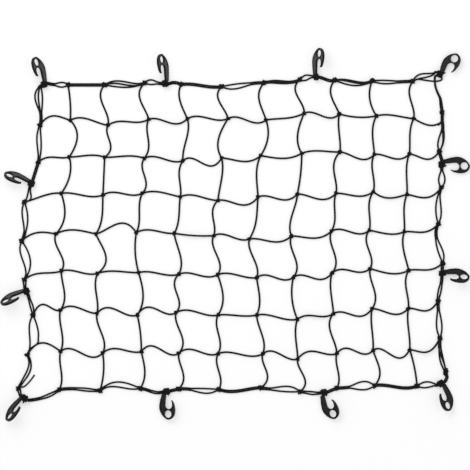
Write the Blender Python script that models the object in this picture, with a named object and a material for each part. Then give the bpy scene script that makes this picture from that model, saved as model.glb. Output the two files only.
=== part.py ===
# Elastic cargo net laid out flat: a mesh of black shock cord knotted at every
# crossing, a border of the same cord run double, and twelve moulded hooks lashed
# to the border.  Metres, +Z up, the top of the net towards +Y, lying on Z = 0.
# The tables are in millimetres, measured from the middle of the mesh.

import math
from collections import namedtuple

import bmesh
import bpy
from mathutils import Vector

MM = 0.001
CENTRE_SHIFT = (-0.00096, -0.00235)     # moves the middle of the overall outline to the origin

# Cord
CORD_DIAMETER = 5.0
STRAND_WIDTH = 4.6              # one strand, flat where it lies
STRAND_HEIGHT = 4.7
PAIR_WIDTH = 9.8                # two strands of the border side by side
SEAM_GAP = 0.3                  # between pieces that meet

# Mesh
MESH_COLUMNS = 10
MESH_ROWS = 7
PITCH_ACROSS = 115.0
PITCH_DOWN = 117.0
BORDER_HALF_WIDTH = 615.0
BORDER_TOP = 450.0
BORDER_BOTTOM = -465.0
STRAND_STATIONS = (0.25, 0.5, 0.75)

# Knots
KNOT_REACH = 7.5                # from a mesh knot's middle to where a strand leaves it
BORDER_KNOT_REACH = 8.0
KNOT_HEIGHT = 11.0
KNOT_LIFT = 1.2                 # a strand climbs this far into its knot
SHOULDER_RADIUS = 6.6
SHOULDER_HEIGHT = 7.4
FOOT_RADIUS = 5.0
RIDGE_HALF_LENGTH = 3.4
RIDGE_HALF_WIDTH = 1.6
STRAND_TURN = math.radians(22)  # furthest a strand leans as it leaves a knot
LEAF_SPREAD = math.radians(20)  # between a leaf's strand and the line of the border
LEAF_GAP = 4.0                  # a wider gap than this stays open
LEAF_APART = 5.6                # least distance between the middles of a leaf's strands
LONG_STRETCH = 58.0
SHORT_STRETCH = 30.0

# Hooks
HOOK_THICKNESS = 8.0
HOOK_BACK = 27.7                # from the pull hole's line to the furthest back
HOOK_ROOT_ACROSS = 11.0         # from the pull hole's line to the middle of the shank
SHANK_INNER = 6.4
SHANK_OUTER = 20.0
PULL_HOLE = (67.7, 0.0, 10.4)   # along, across, radius
PULL_HOLE_SIDES = 10
THROAT = (41.0, -1.8, 11.0)
THROAT_START = math.radians(-100)
THROAT_END = math.radians(80)
THROAT_STEPS = 7

# Lashings
LASHING_DEPTH = 24.0
LASHING_FOOT = 17.0
LASHING_SHOULDER = 3.5
LASHING_OVER_HOOK = 5.5         # above the middle of the hook's shank
LASHING_RIDGE = 0.8
LASHING_TURNS = 3
LASHING_FLOOR = 2.3             # lashing below the border cords
LASHING_CLEARANCE = 0.35
MOUTH_REACH = 1.2               # border cords stay straight this far past a lashing
GATHER_REACH = 7.0
GATHER_BACK = 4.0
GATHER_SPREAD = math.radians(26)

# Loose tail of the border cord, at the bottom left corner
TAIL_ROUTE = ((-631.5, -456.0), (-616.5, -441.0), (-603.6, -423.9))
TAIL_STEPS = 6

BLACK_CORD = (0.012, 0.012, 0.013, 1.0)
BLACK_PLASTIC = (0.022, 0.022, 0.023, 1.0)


# How far each mesh knot has drifted from an even grid, as (right, up), a row of
# knots to a line from the top, left to right.
KNOT_DRIFT = (
    ((22, -10), (20, -25), (27, -7), (28, -5), (35, -5), (34, -9), (33, 11), (24, 9), (20, 3), (17, -5)),
    ((19, -3), (10, -4), (14, -7), (15, -14), (16, -6), (18, 1), (26, 8), (26, 12), (14, 5), (4, 6)),
    ((-5, 5), (5, 0), (8, 5), (7, -6), (5, -16), (10, -6), (13, 3), (14, 5), (11, 10), (-3, 2)),
    ((-21, 0), (-16, 0), (-10, 4), (-11, 2), (-8, -5), (-16, -15), (-5, -6), (0, 8), (-1, 11), (-11, 7)),
    ((-5, 6), (-11, -1), (-3, 1), (2, -4), (4, -5), (6, -14), (1, -13), (2, 0), (1, 13), (2, 8)),
    ((-8, 5), (-13, -4), (-7, -9), (-6, -2), (5, -9), (6, -9), (13, -22), (6, -5), (7, 10), (1, 11)),
    ((-7, -1), (4, -6), (5, -2), (2, -7), (5, -8), (24, -9), (14, -24), (16, -8), (10, 2), (5, 4)),
)
TOP_KNOT_DRIFT = ((15, -3), (10, -3), (16, 3), (9, -2), (16, -8), (28, 3), (21, 13), (11, 11), (7, 9), (15, 8))
BOTTOM_KNOT_DRIFT = ((-11, -2), (-4, -5), (2, 2), (2, 0), (7, -1), (19, 4), (21, -8), (17, 3), (14, 10), (27, 9))
LEFT_KNOT_DRIFT = ((29, -24), (24, -18), (-18, -21), (-26, -21), (-18, -20), (8, -9), (-9, -11))
RIGHT_KNOT_DRIFT = ((5, -13), (-4, 14), (2, 22), (-7, 30), (6, 30), (-8, 33), (-2, 39))

# How each mesh strand lies off the straight line between its knots.  A strand has
# two letters, for its stray a third and two thirds of the way along: m is on the
# line, n is one step off it, o is two, and l, k and so on lie on the other side.
# Up is towards n in the strands across, and right is in the strands down.
LIE_STEP = 3.0
ACROSS_LIES = (
    "tr qo ol lh ol nj lk mi kk on ih",
    "pn no no ol mf jh ji on jg kh if",
    "no mk ol po pn jf lh jg ki hi hf",
    "rq qp sw pn ll ol kh jh nj kj jh",
    "pn nl on nl nk om ok mh ok ji ki",
    "vq ro sn tn pm ml nl ol lg jg if",
    "wu oi qn sm qm nk qm so qk le gd",
)
DOWN_LIES = (
    "nn ts qq rs lp oq mo mo",
    "hl nr mm op sv km mp oo",
    "fi mp lp ln kk qr nn pq",
    "ij om jl no oq jo nr or",
    "gj hg on il lp qr lo lo",
    "gi qq jk op lo op np os",
    "gk ih nn lj mq jj kl os",
    "gi lm hk mo mq kl hk mo",
    "ii jk km jl jn nq lm qs",
    "il kl kl kl jk jl lm nn",
)
# Strands across that stand up off the surface: (row, strand) and the rise.
ARCHED_STRANDS = {(1, 3): 6, (1, 5): 6, (1, 7): 7, (2, 3): 3, (3, 9): 3, (4, 4): 7, (6, 7): 6, (7, 10): 6}

# Hooks, clockwise from the top left corner.  root is where the shank's middle line
# starts; heading is the way the shank points, in degrees from +X; tip is the side
# its point lies on, seen along the heading; roll is how far the point side is
# lifted.  lash is the middle of its lashing; lie is the way the border cord runs
# through that, and width is its length along the cord.
Hook = namedtuple("Hook", "number root heading tip roll lash lie width")
LEFT = 1
RIGHT = -1
HOOKS = (
    Hook(1, (-571.2, 450.5), 105.5, LEFT, 50, (-574.0, 448.5), 17, 20),
    Hook(2, (-207.0, 456.0), 96.8, LEFT, 55, (-211.0, 451.0), 0, 22),
    Hook(3, (239.5, 473.5), 86.0, RIGHT, 52, (241.5, 471.0), -5, 18),
    Hook(4, (614.3, 471.5), 61.0, RIGHT, 12, (613.0, 479.0), -25, 24),
    Hook(5, (618.5, 215.0), 0.0, RIGHT, 3, (618.5, 208.5), -90, 24),
    Hook(6, (617.5, -115.0), -4.0, RIGHT, 38, (619.5, -118.0), -92, 20),
    Hook(7, (621.0, -447.0), -70.5, RIGHT, 40, (616.0, -448.0), 25, 24),
    Hook(8, (260.0, -478.0), -70.5, LEFT, 22, (265.5, -475.0), 8, 22),
    Hook(9, (-212.5, -472.0), -89.5, LEFT, 20, (-206.0, -472.0), 8, 22),
    Hook(10, (-638.8, -488.0), -128.0, LEFT, 56, (-633.0, -492.0), -30, 24),
    Hook(11, (-628.5, -168.5), -156.5, LEFT, 58, (-627.0, -171.5), -65, 20),
    Hook(12, (-612.0, 154.0), 156.7, LEFT, 55, (-612.0, 151.5), -111, 22),
)

# One face of a hook, as (along, across): along runs out from the lashing, across is
# measured from the line of the pull hole, and the point is on the minus side.
HOOK_BACK_AND_NOSE = (
    (24.0, 24.3), (37.0, 26.4), (45.0, 27.7), (54.0, 26.8), (62.0, 23.9), (71.0, 18.7),
    (77.5, 12.4), (82.6, 5.5), (84.8, -0.4), (83.0, -8.0), (79.0, -14.0), (71.0, -19.6),
)
HOOK_POINT = (
    (62.0, -21.7), (52.0, -22.6), (36.6, -20.4), (30.7, -17.5), (26.8, -13.2),
    (28.5, -10.7), (32.4, -12.8),
)
HOOK_SHANK_INSIDE = ((32.0, 9.0), (22.0, 8.0))

# The border, one run to a side.  A stop is a knot that ties in a mesh strand, a
# lashing, a plain knot or a bend.  outer and inner are the lies of the two cords
# after the stop, in the letters above but in finer steps, outwards towards n.
BORDER_LIE_STEP = 2.0
Stop = namedtuple("Stop", "kind number outer inner")
TOP_RUN = (
    Stop("lashing", 1, "mp", "ki"),
    Stop("top", 1, "nn", "ll"),
    Stop("top", 2, "rn", "ih"),
    Stop("top", 3, "rp", "kl"),
    Stop("lashing", 2, "pp", "nn"),
    Stop("top", 4, "om", "mk"),
    Stop("top", 5, "oo", "hl"),
    Stop("top", 6, "ol", "ki"),
    Stop("top", 7, "qq", "jk"),
    Stop("lashing", 3, "pn", "nl"),
    Stop("top", 8, "nk", "gf"),
    Stop("top", 9, "nm", "ik"),
    Stop("top", 10, "rp", "ke"),
    Stop("lashing", 4, "", ""),
)
RIGHT_RUN = (
    Stop("lashing", 4, "nn", "ll"),
    Stop("bend", (630.0, 465.5), "", ""),
    Stop("bend", (624.5, 456.5), "", ""),
    Stop("bend", (609.0, 454.0), "", ""),
    Stop("bend", (599.0, 446.0), "", ""),
    Stop("bend", (600.0, 433.0), "", ""),
    Stop("bend", (610.0, 414.0), "", ""),
    Stop("bend", (617.0, 392.0), "", ""),
    Stop("bend", (621.0, 366.0), "", ""),
    Stop("right", 1, "qr", "mj"),
    Stop("right", 2, "nn", "ll"),
    Stop("lashing", 5, "qr", "ji"),
    Stop("right", 3, "mp", "hh"),
    Stop("right", 4, "io", "gh"),
    Stop("right", 5, "nn", "ll"),
    Stop("lashing", 6, "oo", "lk"),
    Stop("right", 6, "oq", "ki"),
    Stop("right", 7, "lm", "ih"),
    Stop("plain", (630.0, -414.0), "nn", "ll"),
    Stop("bend", (634.0, -430.0), "", ""),
    Stop("lashing", 7, "", ""),
)
BOTTOM_RUN = (
    Stop("lashing", 10, "qq", "oo"),
    Stop("bottom", 1, "lm", "jk"),
    Stop("bottom", 2, "hl", "bd"),
    Stop("bottom", 3, "oq", "mn"),
    Stop("lashing", 9, "nn", "ll"),
    Stop("bottom", 4, "qs", "ll"),
    Stop("bottom", 5, "rp", "pn"),
    Stop("bottom", 6, "oq", "kg"),
    Stop("bottom", 7, "op", "ll"),
    Stop("lashing", 8, "nn", "ll"),
    Stop("bottom", 8, "nr", "lf"),
    Stop("bottom", 9, "nq", "lo"),
    Stop("bottom", 10, "po", "hh"),
    Stop("lashing", 7, "", ""),
)
LEFT_RUN = (
    Stop("lashing", 1, "un", "jk"),
    Stop("left", 1, "qo", "kj"),
    Stop("left", 2, "nn", "ll"),
    Stop("lashing", 12, "on", "ji"),
    Stop("left", 3, "ok", "gg"),
    Stop("left", 4, "pk", "dc"),
    Stop("left", 5, "nn", "ll"),
    Stop("lashing", 11, "mm", "kj"),
    Stop("left", 6, "pl", "gg"),
    Stop("left", 7, "gj", "dg"),
    Stop("tail", (-650.5, -463.0), "nn", "ll"),
    Stop("lashing", 10, "", ""),
)


def clear_scene():
    for item in list(bpy.data.objects):
        bpy.data.objects.remove(item, do_unlink=True)


def material(name, colour, roughness):
    made = bpy.data.materials.new(name)
    made.use_nodes = True
    surface = made.node_tree.nodes["Principled BSDF"]
    surface.inputs["Base Color"].default_value = colour
    surface.inputs["Roughness"].default_value = roughness
    surface.inputs["Metallic"].default_value = 0.0
    return made


def place(point):
    """A table's point, in millimetres, as a place in metres."""
    x, y, z = point
    return Vector((x * MM - CENTRE_SHIFT[0], y * MM - CENTRE_SHIFT[1], z * MM))


def finish_object(name, mesh_maker, colour, roughness):
    bmesh.ops.recalc_face_normals(mesh_maker, faces=mesh_maker.faces)
    mesh = bpy.data.meshes.new(name)
    mesh_maker.to_mesh(mesh)
    mesh_maker.free()
    mesh.materials.append(material(name, colour, roughness))
    made = bpy.data.objects.new(name, mesh)
    bpy.context.collection.objects.link(made)
    return made


# Plan geometry, in millimetres

def step(point, heading, distance):
    return (point[0] + distance * math.cos(heading), point[1] + distance * math.sin(heading))


def heading_to(start, end):
    return math.atan2(end[1] - start[1], end[0] - start[0])


def turn_between(first, second):
    return (second - first + math.pi) % (2 * math.pi) - math.pi


def lean(heading, nominal, most):
    """heading, held within most of nominal."""
    return nominal + max(-most, min(most, turn_between(nominal, heading)))


def stray(word, part, letter_step):
    """How far off its line a strand lies, part of the way along it."""
    third = (ord(word[0]) - ord("m")) * letter_step
    two_thirds = (ord(word[1]) - ord("m")) * letter_step
    start_slope = 9.0 * third - 4.5 * two_thirds
    return part * (1 - part) * (start_slope + 13.5 * (two_thirds - third) * part)


def mesh_knot(row, column):
    right, up = KNOT_DRIFT[row - 1][column - 1]
    x = PITCH_ACROSS * (column - (MESH_COLUMNS + 1) / 2) + right
    y = PITCH_DOWN * ((MESH_ROWS + 1) / 2 - row) + up
    return (x, y)


def border_knot(side, number):
    if side in ("top", "bottom"):
        right, up = (TOP_KNOT_DRIFT if side == "top" else BOTTOM_KNOT_DRIFT)[number - 1]
        line = BORDER_TOP if side == "top" else BORDER_BOTTOM
        return (PITCH_ACROSS * (number - (MESH_COLUMNS + 1) / 2) + right, line + up)
    right, up = (LEFT_KNOT_DRIFT if side == "left" else RIGHT_KNOT_DRIFT)[number - 1]
    line = -BORDER_HALF_WIDTH if side == "left" else BORDER_HALF_WIDTH
    return (line + right, PITCH_DOWN * ((MESH_ROWS + 1) / 2 - number) + up)


INWARDS = {"top": -math.pi / 2, "bottom": math.pi / 2, "left": 0.0, "right": math.pi}


def across_point(row, strand, part):
    """A point along the strand that follows knot number strand of a row."""
    start = border_knot("left", row) if strand == 0 else mesh_knot(row, strand)
    end = border_knot("right", row) if strand == MESH_COLUMNS else mesh_knot(row, strand + 1)
    word = ACROSS_LIES[row - 1].split()[strand]
    offset = stray(word, part, LIE_STEP)
    return (start[0] + (end[0] - start[0]) * part, start[1] + (end[1] - start[1]) * part + offset)


def down_point(column, strand, part):
    start = border_knot("top", column) if strand == 0 else mesh_knot(strand, column)
    end = border_knot("bottom", column) if strand == MESH_ROWS else mesh_knot(strand + 1, column)
    word = DOWN_LIES[column - 1].split()[strand]
    offset = stray(word, part, LIE_STEP)
    return (start[0] + (end[0] - start[0]) * part + offset, start[1] + (end[1] - start[1]) * part)


# Solids

def add_ring(solid, middle, heading, width, base):
    """Four corners of a strand's section, square to its heading and flat below."""
    side_x = -math.sin(heading) * width / 2
    side_y = math.cos(heading) * width / 2
    low = base
    high = base + STRAND_HEIGHT
    left = (middle[0] + side_x, middle[1] + side_y)
    right = (middle[0] - side_x, middle[1] - side_y)
    corners = ((*right, low), (*left, low), (*left, high), (*right, high))
    return [solid.verts.new(place(corner)) for corner in corners]


def facing_back(ring):
    """The same ring, in the order that a strand arriving from outside needs."""
    return [ring[1], ring[0], ring[3], ring[2]]


def join_rings(solid, rings):
    for first, second in zip(rings, rings[1:]):
        for corner in range(4):
            after = (corner + 1) % 4
            solid.faces.new((first[corner], first[after], second[after], second[corner]))


def add_skin(solid, ports, points):
    """A convex lump round the ports and points, left open at each open port.

    A port is a ring and whether it is open."""
    loose = [solid.verts.new(place(point)) for point in points]
    corners = [corner for ring, is_open in ports for corner in ring] + loose
    result = bmesh.ops.convex_hull(solid, input=corners, use_existing_faces=False)
    open_rings = [set(ring) for ring, is_open in ports if is_open]
    made = [item for item in result["geom"] if isinstance(item, bmesh.types.BMFace)]
    mouths = [face for face in made if any(set(face.verts) <= ring for ring in open_rings)]
    bmesh.ops.delete(solid, geom=mouths, context="FACES")
    unused = [corner for corner in loose if corner.is_valid and not corner.link_faces]
    bmesh.ops.delete(solid, geom=unused, context="VERTS")


def knot_points(middle, headings, ridge_heading):
    """The crown, shoulders and foot of a knot whose strands leave at headings."""
    points = []
    ordered = sorted(heading % (2 * math.pi) for heading in headings)
    for first, second in zip(ordered, ordered[1:] + [ordered[0] + 2 * math.pi]):
        count = max(1, round((second - first) / math.pi))
        for number in range(count):
            between = first + (second - first) * (number + 1) / (count + 1)
            points.append((*step(middle, between, SHOULDER_RADIUS), SHOULDER_HEIGHT))
            points.append((*step(middle, between, FOOT_RADIUS), 0.0))
    for end in (-1, 1):
        ridge_end = step(middle, ridge_heading, end * RIDGE_HALF_LENGTH)
        for side in (-1, 1):
            corner = step(ridge_end, ridge_heading + math.pi / 2, side * RIDGE_HALF_WIDTH)
            points.append((*corner, KNOT_HEIGHT))
    return points


def strand_rings(solid, along, rise):
    """The rings of a strand between its knots; along gives its point at each part."""
    rings = []
    for part in STRAND_STATIONS:
        heading = heading_to(along(part - 0.02), along(part + 0.02))
        base = rise * math.sin(math.pi * part) ** 2
        rings.append(add_ring(solid, along(part), heading, STRAND_WIDTH, base))
    return rings


def border_end(solid, side, number, along, part_towards_mesh):
    """The blunt end of a mesh strand against its border knot."""
    knot = border_knot(side, number)
    heading = lean(heading_to(knot, along(part_towards_mesh)), INWARDS[side], STRAND_TURN)
    middle = step(knot, heading, BORDER_KNOT_REACH + SEAM_GAP)
    return add_ring(solid, middle, heading, STRAND_WIDTH, KNOT_LIFT)


NEAR_START = 0.2
NEAR_END = 0.8


def build_mesh():
    """The knotted mesh, as one body."""
    solid = bmesh.new()
    ports = {}
    for row in range(1, MESH_ROWS + 1):
        for column in range(1, MESH_COLUMNS + 1):
            middle = mesh_knot(row, column)
            targets = (
                ("east", across_point(row, column, NEAR_START), 0.0),
                ("north", down_point(column, row - 1, NEAR_END), math.pi / 2),
                ("west", across_point(row, column - 1, NEAR_END), math.pi),
                ("south", down_point(column, row, NEAR_START), -math.pi / 2),
            )
            headings = []
            for name, target, nominal in targets:
                heading = lean(heading_to(middle, target), nominal, STRAND_TURN)
                start = step(middle, heading, KNOT_REACH)
                ports[row, column, name] = add_ring(solid, start, heading, STRAND_WIDTH, KNOT_LIFT)
                headings.append(heading)
            ridge = math.pi / 4 if (row + column) % 2 else -math.pi / 4
            rings = [(ports[row, column, name], True) for name, target, nominal in targets]
            add_skin(solid, rings, knot_points(middle, headings, ridge))

    def add_strand(along, start, end, rise):
        rings = [start] + strand_rings(solid, along, rise) + [facing_back(end)]
        join_rings(solid, rings)

    for row in range(1, MESH_ROWS + 1):
        for strand in range(MESH_COLUMNS + 1):
            def along(part, row=row, strand=strand):
                return across_point(row, strand, part)
            start = ports.get((row, strand, "east"))
            end = ports.get((row, strand + 1, "west"))
            if start is None:
                start = border_end(solid, "left", row, along, NEAR_START)
                solid.faces.new(start)
            if end is None:
                end = border_end(solid, "right", row, along, NEAR_END)
                solid.faces.new(end)
            add_strand(along, start, end, ARCHED_STRANDS.get((row, strand), 0))
    for column in range(1, MESH_COLUMNS + 1):
        for strand in range(MESH_ROWS + 1):
            def along(part, column=column, strand=strand):
                return down_point(column, strand, part)
            start = ports.get((strand, column, "south"))
            end = ports.get((strand + 1, column, "north"))
            if start is None:
                start = border_end(solid, "top", column, along, NEAR_START)
                solid.faces.new(start)
            if end is None:
                end = border_end(solid, "bottom", column, along, NEAR_END)
                solid.faces.new(end)
            add_strand(along, start, end, 0)
    return finish_object("net_mesh", solid, BLACK_CORD, 0.75)


def hook_row(number):
    return HOOKS[number - 1]


def stop_middle(stop):
    if stop.kind == "lashing":
        return hook_row(stop.number).lash
    if stop.kind in ("top", "right", "bottom", "left"):
        return border_knot(stop.kind, stop.number)
    return stop.number


def leaf_is_open(stop):
    """Whether the two cords after a stop stand apart by more than the leaf gap."""
    widest = max(
        (ord(outer) - ord(inner)) * BORDER_LIE_STEP
        for outer, inner in zip(stop.outer, stop.inner)
    )
    return widest - CORD_DIAMETER > LEAF_GAP


def parts_for(length):
    """Where along a stretch of border its sections fall."""
    if length > LONG_STRETCH:
        return (0.25, 0.5, 0.75)
    if length > SHORT_STRETCH:
        return (0.35, 0.65)
    return ()


class Joint:
    """A knot or a gather of the border: rings where its cords leave, and a skin."""

    def __init__(self, solid, middle):
        self.solid = solid
        self.middle = middle
        self.ports = []
        self.headings = []

    def add_port(self, heading, reach, width, is_open=True):
        ring = add_ring(self.solid, step(self.middle, heading, reach), heading, width, KNOT_LIFT)
        self.ports.append((ring, is_open))
        self.headings.append(heading)
        return ring

    def close(self, has_crown):
        ridge = self.headings[0] + math.pi / 5
        points = knot_points(self.middle, self.headings, ridge) if has_crown else []
        add_skin(self.solid, self.ports, points)


class Stretch:
    """The border cords between one stop and the next."""

    def __init__(self, stop, following, bends, outward_turn):
        self.stop = stop
        self.following = following
        self.bends = bends
        self.is_leaf = leaf_is_open(stop) and not bends
        first, last = stop_middle(stop), stop_middle(following)
        self.start_away, self.start = self.anchor(stop, bends[0] if bends else last)
        self.end_away, self.end = self.anchor(following, bends[-1] if bends else first)
        self.forwards = heading_to(self.start, self.end)
        self.outward = self.forwards + outward_turn
        self.outer_turn = math.copysign(1, outward_turn)

    def anchor(self, stop, towards):
        """The way the cords leave a stop, and where their stretch begins."""
        middle = stop_middle(stop)
        away = heading_to(middle, towards)
        if stop.kind != "lashing":
            return away, middle
        hook = hook_row(stop.number)
        lie = math.radians(hook.lie)
        if abs(turn_between(lie, away)) > math.pi / 2:
            lie += math.pi
        reach = 2 * MOUTH_REACH + GATHER_BACK if self.is_leaf else MOUTH_REACH
        return lie, step(middle, lie, hook.width / 2 + reach)

    def point(self, part, side):
        """A point of its cords: side is 1 for the outer, -1 the inner, 0 the middle."""
        outer = stray(self.stop.outer, part, BORDER_LIE_STEP)
        inner = stray(self.stop.inner, part, BORDER_LIE_STEP)
        offset = (outer + inner) / 2 + side * max(outer - inner, LEAF_APART) / 2
        x = self.start[0] + (self.end[0] - self.start[0]) * part
        y = self.start[1] + (self.end[1] - self.start[1]) * part
        return step((x, y), self.outward, offset)

    def leave(self, solid, joint, at_start):
        """The rings at one end, outer first, and the lashing's mouth if it has one."""
        stop = self.stop if at_start else self.following
        away = self.start_away if at_start else self.end_away
        along = self.forwards if at_start else self.forwards + math.pi
        outer_turn = self.outer_turn if at_start else -self.outer_turn
        if stop.kind != "lashing":
            if self.is_leaf:
                headings = [along + side * outer_turn * LEAF_SPREAD for side in (1, -1)]
                return None, [joint.add_port(heading, BORDER_KNOT_REACH, STRAND_WIDTH) for heading in headings]
            return None, [joint.add_port(away, BORDER_KNOT_REACH, PAIR_WIDTH)]
        hook = hook_row(stop.number)
        mouth_middle = step(hook.lash, away, hook.width / 2 + MOUTH_REACH)
        mouth = add_ring(solid, mouth_middle, away, PAIR_WIDTH, LASHING_FLOOR)
        if not self.is_leaf:
            return mouth, [mouth]
        gather = Joint(solid, self.start if at_start else self.end)
        back = gather.add_port(away + math.pi, GATHER_BACK, PAIR_WIDTH)
        rings = []
        for side in (1, -1):
            heading = along + side * outer_turn * GATHER_SPREAD
            rings.append(gather.add_port(heading, GATHER_REACH, STRAND_WIDTH))
        gather.close(False)
        join_rings(solid, [mouth, facing_back(back)])
        return mouth, rings

    def middle_rings(self, solid, side):
        width = STRAND_WIDTH if self.is_leaf else PAIR_WIDTH
        parts = parts_for(math.dist(self.start, self.end))
        points = self.bends or [self.point(part, side) for part in parts]
        chain = [self.start, *points, self.end]
        return [
            add_ring(solid, middle, heading_to(before, after), width, 0.0)
            for before, middle, after in zip(chain, chain[1:], chain[2:])
        ]


def stub_heading(stop, middle):
    """The way a mesh strand, or the loose tail, meets a border knot."""
    if stop.kind == "tail":
        return heading_to(middle, TAIL_ROUTE[0])
    if stop.kind == "left":
        towards = across_point(stop.number, 0, NEAR_START)
    elif stop.kind == "right":
        towards = across_point(stop.number, MESH_COLUMNS, NEAR_END)
    elif stop.kind == "top":
        towards = down_point(stop.number, 0, NEAR_START)
    else:
        towards = down_point(stop.number, MESH_ROWS, NEAR_END)
    return lean(heading_to(middle, towards), INWARDS[stop.kind], STRAND_TURN)


def build_border_run(name, run, outward_turn):
    """One side of the border; outward_turn is from its heading to the outside."""
    solid = bmesh.new()
    stops = [stop for stop in run if stop.kind != "bend"]
    joints = [None if stop.kind == "lashing" else Joint(solid, stop_middle(stop)) for stop in stops]
    lengths = []
    arriving = None
    for number, (stop, following) in enumerate(zip(stops, stops[1:])):
        bends = [row.number for row in run[run.index(stop) + 1:run.index(following)]]
        stretch = Stretch(stop, following, bends, outward_turn)
        mouth, starts = stretch.leave(solid, joints[number], True)
        end_mouth, ends = stretch.leave(solid, joints[number + 1], False)
        sides = (1, -1) if stretch.is_leaf else (0,)
        for side, start, end in zip(sides, starts, ends):
            lengths.append([start, *stretch.middle_rings(solid, side), facing_back(end)])
        if mouth:
            lengths.append([facing_back(arriving) if arriving else blunt_end(solid, stretch, True), mouth])
        arriving = end_mouth
    lengths.append([blunt_end(solid, stretch, False), arriving])
    for stop, joint in zip(stops, joints):
        if not joint:
            continue
        if stop.kind != "plain":
            joint.add_port(stub_heading(stop, joint.middle), BORDER_KNOT_REACH, STRAND_WIDTH, is_open=False)
        joint.close(True)
    for rings in lengths:
        join_rings(solid, rings)
    return finish_object(name, solid, BLACK_CORD, 0.75)


def blunt_end(solid, stretch, at_start):
    """Where a side of the border ends against the next, inside a corner lashing."""
    stop = stretch.stop if at_start else stretch.following
    away = stretch.start_away if at_start else stretch.end_away
    middle = step(hook_row(stop.number).lash, away, SEAM_GAP / 2)
    ring = add_ring(solid, middle, away, PAIR_WIDTH, LASHING_FLOOR)
    solid.faces.new(ring)
    return ring


def hook_lift(hook):
    """How high a rolled hook's shank lies when its back rests on the surface."""
    roll = math.radians(hook.roll)
    return (HOOK_BACK - HOOK_ROOT_ACROSS) * math.sin(roll) + HOOK_THICKNESS / 2 * math.cos(roll)


def shank_start(hook):
    """How far from its root a hook comes clear of its lashing."""
    heading = math.radians(hook.heading)
    furthest = 0.0
    for along in (-1, 1):
        for across in (-1, 1):
            corner = step(hook.lash, math.radians(hook.lie), along * hook.width / 2)
            corner = step(corner, math.radians(hook.lie) + math.pi / 2, across * LASHING_DEPTH / 2)
            reach = (corner[0] - hook.root[0]) * math.cos(heading)
            reach += (corner[1] - hook.root[1]) * math.sin(heading)
            furthest = max(furthest, reach)
    return furthest + LASHING_CLEARANCE


def arc(middle_along, middle_across, radius, start, end, steps):
    points = []
    for number in range(steps + 1):
        angle = start + (end - start) * number / steps
        points.append((middle_along + radius * math.cos(angle), middle_across + radius * math.sin(angle)))
    return points


def hook_outline(start_along):
    outline = [(start_along, SHANK_INNER), (start_along, SHANK_OUTER)]
    outline += HOOK_BACK_AND_NOSE + HOOK_POINT
    outline += arc(*THROAT, THROAT_START, THROAT_END, THROAT_STEPS)
    outline += HOOK_SHANK_INSIDE
    return outline


def add_loop(solid, corners):
    """A closed loop of edges through corners already placed in the solid."""
    return [solid.edges.new((first, second)) for first, second in zip(corners, corners[1:] + corners[:1])]


def build_hook(hook):
    """One moulded hook: a flat plate with a pull hole, rolled onto its back edge."""
    solid = bmesh.new()
    edges = []
    hole = arc(*PULL_HOLE, 0.0, 2 * math.pi, PULL_HOLE_SIDES)[:-1]
    for loop in (hook_outline(shank_start(hook)), hole):
        corners = []
        for along, across in loop:
            y = (HOOK_ROOT_ACROSS - across) * hook.tip
            corners.append(solid.verts.new((along * MM, y * MM, -HOOK_THICKNESS / 2 * MM)))
        edges += add_loop(solid, corners)
    filled = bmesh.ops.triangle_fill(solid, use_beauty=True, edges=edges, normal=(0, 0, 1))
    faces = [item for item in filled["geom"] if isinstance(item, bmesh.types.BMFace)]
    extruded = bmesh.ops.extrude_face_region(solid, geom=faces)
    raised = [item for item in extruded["geom"] if isinstance(item, bmesh.types.BMVert)]
    bmesh.ops.translate(solid, verts=raised, vec=(0, 0, HOOK_THICKNESS * MM))
    made = finish_object(f"hook_{hook.number:02d}", solid, BLACK_PLASTIC, 0.45)
    made.location = place((*hook.root, hook_lift(hook)))
    made.rotation_euler = (math.radians(hook.roll) * hook.tip, 0.0, math.radians(hook.heading))
    return made


def build_lashing(hook):
    """The cord wound round a hook's root and the border, as one ridged sleeve."""
    solid = bmesh.new()
    lie = math.radians(hook.lie)
    height = hook_lift(hook) + LASHING_OVER_HOOK
    crown = height - LASHING_SHOULDER

    def corner(along, across, up):
        middle = step(hook.lash, lie, along)
        return solid.verts.new(place((*step(middle, lie + math.pi / 2, across), up)))

    def outer_ring(along, inset):
        half = LASHING_DEPTH / 2 - inset
        foot = LASHING_FOOT / 2 - inset
        low, high = LASHING_SHOULDER, crown - inset
        top = height - inset
        section = (
            (-foot, 0.0), (foot, 0.0), (half, low), (half, high),
            (foot, top), (-foot, top), (-half, high), (-half, low),
        )
        return [corner(along, across, up) for across, up in section]

    def inner_ring(along):
        half = PAIR_WIDTH / 2 + LASHING_CLEARANCE
        low = LASHING_FLOOR - LASHING_CLEARANCE
        high = LASHING_FLOOR + STRAND_HEIGHT + LASHING_CLEARANCE
        return [corner(along, *place_) for place_ in ((-half, low), (half, low), (half, high), (-half, high))]

    def join_loops(first, second):
        for number in range(len(first)):
            after = (number + 1) % len(first)
            solid.faces.new((first[number], first[after], second[after], second[number]))

    count = 2 * LASHING_TURNS
    outers = []
    for number in range(count + 1):
        along = hook.width * (number / count - 0.5)
        outers.append(outer_ring(along, 0.0 if number % 2 else LASHING_RIDGE))
    inners = [inner_ring(-hook.width / 2), inner_ring(hook.width / 2)]
    for end in (0, -1):
        rim = add_loop(solid, outers[end]) + add_loop(solid, inners[end])
        bmesh.ops.triangle_fill(solid, use_beauty=True, edges=rim, normal=(math.cos(lie), math.sin(lie), 0))
    for first, second in zip(outers, outers[1:]):
        join_loops(first, second)
    join_loops(*inners)
    return finish_object(f"lashing_{hook.number:02d}", solid, BLACK_CORD, 0.75)


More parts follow.
